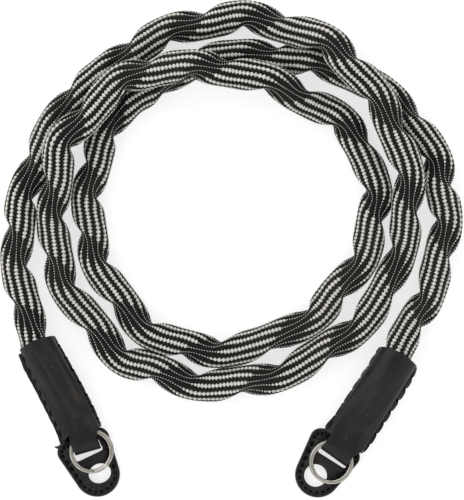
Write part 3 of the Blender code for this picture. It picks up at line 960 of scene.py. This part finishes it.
# Painted shade: the wire's colour darkens towards its sides as the camera sees them.
painted_steel_shade = node(steel_tree, "ShaderNodeLayerWeight", {"Blend": 0.5}).outputs["Facing"]
steel_tree.links.new(
    blended(
        steel_tree, spread(steel_tree, painted_steel_shade, 0.25, 0.8, 0.0, 1.0), steel_colour,
        (0.07, 0.065, 0.06, 1),
    ),
    steel_shader.inputs["Base Color"],
)
steel_tree.links.new(
    spread(steel_tree, steel_haze.outputs["Fac"], 0.3, 0.7, 0.14, 0.34),
    steel_shader.inputs["Roughness"],
)
give_bumps(steel_tree, steel_shader, steel_marks.outputs["Fac"], 0.1, 0.01 * MM)

for side, (reach, shift) in RING_PLACES.items():
    place = on_lean(side) @ Matrix.Translation((reach - PATCH_TOP, shift, 0))
    mesh = mesh_of(f"{side}_ring", wound_ring(), place)
    ring = piece(f"{side}_ring", mesh, ring_steel)
    ring.data.set_sharp_from_angle(angle=math.radians(60))
    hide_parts(f"{side}_split_ring")


# A protector is a tag of thicker, drier leather that keeps the ring off the camera. The tab
# runs through its slot, the ring crosses its round hole, and a line of stitches follows its rim.
PATCH_THICKNESS = 1.7
SHOULDER_DROP, SHOULDER_RADIUS, SHOULDER_SPAN = 3.1, 3.6, 11.3
TIP_REACH, TIP_RADIUS = 13.8, 7.6
HOLE_WIDTH = 7.6
SLOT_START, SLOT_END, SLOT_CORNER = 3.0, 7.3, 0.8
SLOT_SIDES = {"left": (-5.3, 4.5), "right": (-5.5, 5.35)}
# The rim's place across, the hole's from there, and where along the tag the hole starts and ends.
PATCH_PLACES = {"left": (-0.9, 0.9, 10.7, 17.2), "right": (-1.2, -0.5, 10.6, 18.2)}
PATCH_STITCH, POINTS_PER_STITCH = 2.6, 8
STITCH_INSET, GROOVE_HALF, STITCH_SUNK, STITCH_ROUND = 1.7, 0.33, 0.3, 0.25

# The rows of a face from the stitches out to the rim: how far in each lies, how deep, and how
# much deeper the thread presses it. Then the rows down the wall of the hole and of the slot.
FACE_ROWS = [
    (2.08, 0, 0), (STITCH_INSET + GROOVE_HALF, 0.02, 0.15), (STITCH_INSET, 0.05, 0.6),
    (STITCH_INSET - GROOVE_HALF, 0.02, 0.15), (1.12, -0.02, 0), (0.95, 0.18, 0),
    (0.78, -0.02, 0), (0.52, -0.08, 0), (0.28, 0.04, 0), (0.08, 0.28, 0), (0, 0.6, 0),
]
WALL_ROWS = [(0.3, 0), (0.12, 0.08), (0, 0.35)]
RUB_REACH = 0.35


def evenly(points, count):
    """The closed line through the points, as that many points at even distances."""
    points = np.vstack([points, points[:1]])
    length = length_along(points)
    at = np.linspace(0, length[-1], count, endpoint=False)
    return np.column_stack([np.interp(at, length, points[:, axis]) for axis in (0, 1)])


def outwards(points):
    """The way out at each point of a closed line that runs anticlockwise."""
    ahead = np.roll(points, -1, axis=0) - np.roll(points, 1, axis=0)
    ahead /= np.linalg.norm(ahead, axis=1)[:, None]
    return np.column_stack([ahead[:, 1], -ahead[:, 0]])


def rim_line(shift):
    """The protector's outline: two rounded shoulders, straight sides and a round tip."""
    rounds = [(TIP_REACH, shift, TIP_RADIUS)]
    rounds += [
        (SHOULDER_DROP, shift + turn * SHOULDER_SPAN / 2, SHOULDER_RADIUS) for turn in (-1, 1)
    ]
    line = []
    for angle in np.linspace(0, 2 * math.pi, 720, endpoint=False):
        way = np.array((math.cos(angle), math.sin(angle)))
        furthest = max(rounds, key=lambda round_: np.dot(round_[:2], way) + round_[2])
        line.append(np.array(furthest[:2]) + furthest[2] * way)
    stitches = round(length_along(line + line[:1])[-1] / PATCH_STITCH)
    return evenly(line, stitches * POINTS_PER_STITCH)


def hole_line(shift, hole_shift, start, end):
    """The outline of the round hole."""
    angles = np.linspace(0, 2 * math.pi, 48, endpoint=False)
    return np.column_stack([
        (start + end) / 2 + (end - start) / 2 * np.cos(angles),
        shift + hole_shift + HOLE_WIDTH / 2 * np.sin(angles),
    ])


def slot_line(first, last):
    """The outline of the slot, with its rounded corners."""
    line = []
    for quarter, (u, v) in enumerate([(1, 1), (-1, 1), (-1, -1), (1, -1)]):
        middle = np.array((
            (SLOT_START + SLOT_END) / 2 + u * ((SLOT_END - SLOT_START) / 2 - SLOT_CORNER),
            (first + last) / 2 + v * ((last - first) / 2 - SLOT_CORNER),
        ))
        for angle in np.linspace(0, math.pi / 2, 6) + quarter * math.pi / 2:
            line.append(middle + SLOT_CORNER * np.array((math.cos(angle), math.sin(angle))))
    return evenly(line, 64)


def walled(shape, wear_and_sheen, line, profile, inwards):
    """Bridges copies of a closed line, each set in by so much at a level. Gives all rows."""
    way = outwards(line) * (-1 if inwards else 1)
    rows = []
    for inset, level in profile:
        spots = np.column_stack([line + way * inset, np.broadcast_to(level, len(line))])
        row = [shape.verts.new(spot) for spot in spots]
        for corner in row:
            corner[wear_and_sheen] = math.exp(-inset / RUB_REACH)
        edges = [shape.edges.new((a, b)) for a, b in zip(row, row[1:] + row[:1])]
        rows.append(edges)
    for first, second in zip(rows, rows[1:]):
        bmesh.ops.bridge_loops(shape, edges=first + second)
    return rows


def cut_protector(side):
    """One protector: its rim with the pressed grooves, the hole, the slot and both faces."""
    shift, *hole = PATCH_PLACES[side]
    tag = bmesh.new()
    wear_and_sheen = tag.verts.layers.float.new("wear_and_sheen")
    rim = rim_line(shift)
    pressed = np.abs(np.sin(math.pi * np.arange(len(rim)) / POINTS_PER_STITCH))
    lower = [(inset, deep + pressed_in * pressed) for inset, deep, pressed_in in FACE_ROWS]
    upper = [(inset, PATCH_THICKNESS - level) for inset, level in lower]
    rims = walled(tag, wear_and_sheen, rim, upper + lower[::-1], True)
    wall = [(inset, PATCH_THICKNESS - level) for inset, level in WALL_ROWS] + WALL_ROWS[::-1]
    holes = walled(tag, wear_and_sheen, hole_line(shift, *hole), wall, False)
    slots = walled(tag, wear_and_sheen, slot_line(*SLOT_SIDES[side]), wall, False)
    for end in (0, -1):
        bmesh.ops.triangle_fill(
            tag, edges=rims[end] + holes[end] + slots[end], use_beauty=True, use_dissolve=False
        )
    bmesh.ops.recalc_face_normals(tag, faces=tag.faces)
    return tag


def rim_stitches(side):
    """Thread pressed into the grooves of the rim, on both faces."""
    rim = rim_line(PATCH_PLACES[side][0])
    line = rim - outwards(rim) * STITCH_INSET
    lays = []
    for first in range(0, len(line), POINTS_PER_STITCH):
        start, end = line[first + 1], line[(first + POINTS_PER_STITCH - 1) % len(line)]
        for level, up in ((PATCH_THICKNESS - STITCH_SUNK, 1), (STITCH_SUNK, -1)):
            lays.append(stitch_lay(
                Vector((*start, level)), Vector((*end, level)), Vector((0, 0, up)),
                STITCH_ROUND, STITCH_ROUND,
            ))
    return lays


patch_leather = leather(
    "patch_leather", (0.0058, 0.0059, 0.0055, 1), (0.035, 0.03, 0.024, 1), 0.7, 0.38, 2.4,
    0.16 * MM,
)

for side in ENDS:
    mesh = mesh_of(f"{side}_tag", cut_protector(side), on_lean(side))
    tag = piece(f"{side}_tag", mesh, patch_leather)
    tag.data.set_sharp_from_angle(angle=math.radians(70))
    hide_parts(f"{side}_protector")
    threads(f"{side}_rim_stitches", rim_stitches(side), on_lean(side))


# The table and the light: a pale plain surface that glows a little from below, as a light table
# does, four soft boxes low round it, and even light from all sides.
FLOOR_SIZE = 6.0
FLOOR_LEVEL = -0.1 * MM

floor_shape = bmesh.new()
bmesh.ops.create_grid(floor_shape, x_segments=1, y_segments=1, size=FLOOR_SIZE / 2)
floor_mesh = mesh_of("table", floor_shape, Matrix.Translation((0, 0, FLOOR_LEVEL)))
table = bpy.data.objects.new("table", floor_mesh)
table_paint, _, table_shader = new_material("table_paint", 0.9)
table_shader.inputs["Base Color"].default_value = (0.38, 0.38, 0.38, 1)
table_shader.inputs["Emission Color"].default_value = (1, 1, 1, 1)
table_shader.inputs["Emission Strength"].default_value = 0.68
floor_mesh.materials.append(table_paint)
bpy.context.scene.collection.objects.link(table)

surround = bpy.data.worlds.new("surround")
surround.use_nodes = True
surround.node_tree.nodes["Background"].inputs["Color"].default_value = (1, 1, 1, 1)
surround.node_tree.nodes["Background"].inputs["Strength"].default_value = 0.6
bpy.context.scene.world = surround


BOX_SIZE, BOX_DISTANCE, BOX_HEIGHT = 1.4, 1.0, 0.62


def soft_box(name, azimuth, power):
    """A square area light that points at the strap."""
    light = bpy.data.lights.new(name, "AREA")
    light.size = BOX_SIZE
    light.energy = power
    made = bpy.data.objects.new(name, light)
    turn = math.radians(azimuth)
    made.location = (BOX_DISTANCE * math.sin(turn), BOX_DISTANCE * math.cos(turn), BOX_HEIGHT)
    made.rotation_euler = Vector(made.location).to_track_quat("Z", "Y").to_euler()
    bpy.context.scene.collection.objects.link(made)


soft_box("box_back_left", -50, 10.5)
soft_box("box_back_right", 45, 5.5)
soft_box("box_front_right", 140, 4.5)
soft_box("box_front_left", -140, 6.0)
